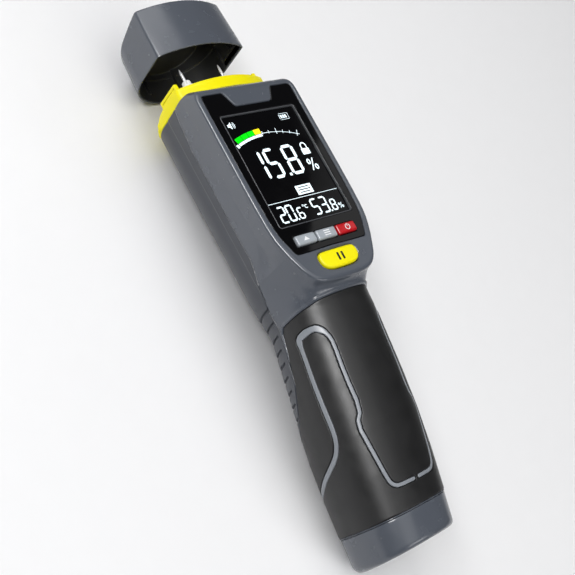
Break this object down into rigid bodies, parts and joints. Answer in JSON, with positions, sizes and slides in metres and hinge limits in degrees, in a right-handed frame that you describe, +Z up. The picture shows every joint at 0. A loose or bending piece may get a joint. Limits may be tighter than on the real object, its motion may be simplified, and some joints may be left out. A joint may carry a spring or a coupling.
{
  "type": "pin moisture meter",
  "caption": "Hand-held pin moisture meter lying on its back, with a lifted pin cap, a display head with keys, and a rubber-covered handle with a battery cap.",
  "frame": {"origin": "centre of the bounding box's bottom face, on the surface that the meter lies on", "axes": "+Z up, out of the display side; +Y along the head towards the pins; +X to the right, across the display"},
  "size_m": [0.0514, 0.2409, 0.0594],
  "materials": {
    "housing": "satin moulded",
    "rear_housing": "satin moulded",
    "yellow_plastic": "bright moulded",
    "dark_plastic": "moulded",
    "brass": "turned",
    "white_plastic": "moulded",
    "steel": "ground",
    "circuit_board": "coated",
    "lens": "polished",
    "chip": "moulded",
    "lead": "insulated",
    "grip_rubber": "fine satin",
    "inlay": "satin",
    "seal": "matt",
    "cell_label": "plain wrap",
    "light_key": "moulded",
    "red_key": "moulded"
  },
  "bodies": {
    "meter_body": {"front_housing": "housing", "rear_housing": "rear_housing", "head_collar": "yellow_plastic", "pin_block": "dark_plastic", "pin_sockets": "brass", "pin_holders": "white_plastic", "left_pin": "steel", "right_pin": "steel", "sensor_vent": "dark_plastic", "humidity_sensor": "circuit_board", "display_lens": "lens", "lcd_panel": "lens", "lcd_backlight": "white_plastic", "lcd_frame": "dark_plastic", "main_board": "circuit_board", "processor": "chip", "key_switches": "chip", "buzzer": "dark_plastic", "board_screws": "steel", "signal_leads": "lead", "housing_screws": "steel", "grip_sleeve": "grip_rubber", "left_grip_inlay": "inlay", "right_grip_inlay": "inlay", "grip_end_ring": "housing", "battery_carrier": "dark_plastic", "batteries": "cell_label", "carrier_contacts": "steel", "contact_board": "circuit_board", "power_leads": "lead"},
    "lifted_cap": {"pin_cap": "housing"},
    "left_key": {"left_key": "light_key"},
    "middle_key": {"middle_key": "light_key"},
    "power_key": {"power_key": "red_key"},
    "hold_button": {"hold_button": "yellow_plastic"},
    "battery_cap": {"battery_cap": "housing", "battery_cap_clips": "dark_plastic", "battery_cap_seal": "seal"}
  },
  "joints": [
    {"name": "cap_slide", "type": "slide", "parent": "meter_body", "child": "lifted_cap", "axis": [0, 0.9954, -0.0958], "range_m": [-0.0158, 0]},
    {"name": "left_key_press", "type": "slide", "parent": "meter_body", "child": "left_key", "axis": [0, -0.088, -0.9961], "range_m": [0, 0.0007], "stiffness_N_per_m": 900},
    {"name": "middle_key_press", "type": "slide", "parent": "meter_body", "child": "middle_key", "axis": [0, -0.088, -0.9961], "range_m": [0, 0.0007], "stiffness_N_per_m": 900},
    {"name": "power_key_press", "type": "slide", "parent": "meter_body", "child": "power_key", "axis": [0, -0.088, -0.9961], "range_m": [0, 0.0007], "stiffness_N_per_m": 900},
    {"name": "hold_button_press", "type": "slide", "parent": "meter_body", "child": "hold_button", "axis": [0, -0.088, -0.9961], "range_m": [0, 0.0008], "stiffness_N_per_m": 900},
    {"name": "battery_cap_slide", "type": "slide", "parent": "meter_body", "child": "battery_cap", "axis": [0, -0.9905, -0.1372], "range_m": [0, 0.03]}
  ]
}
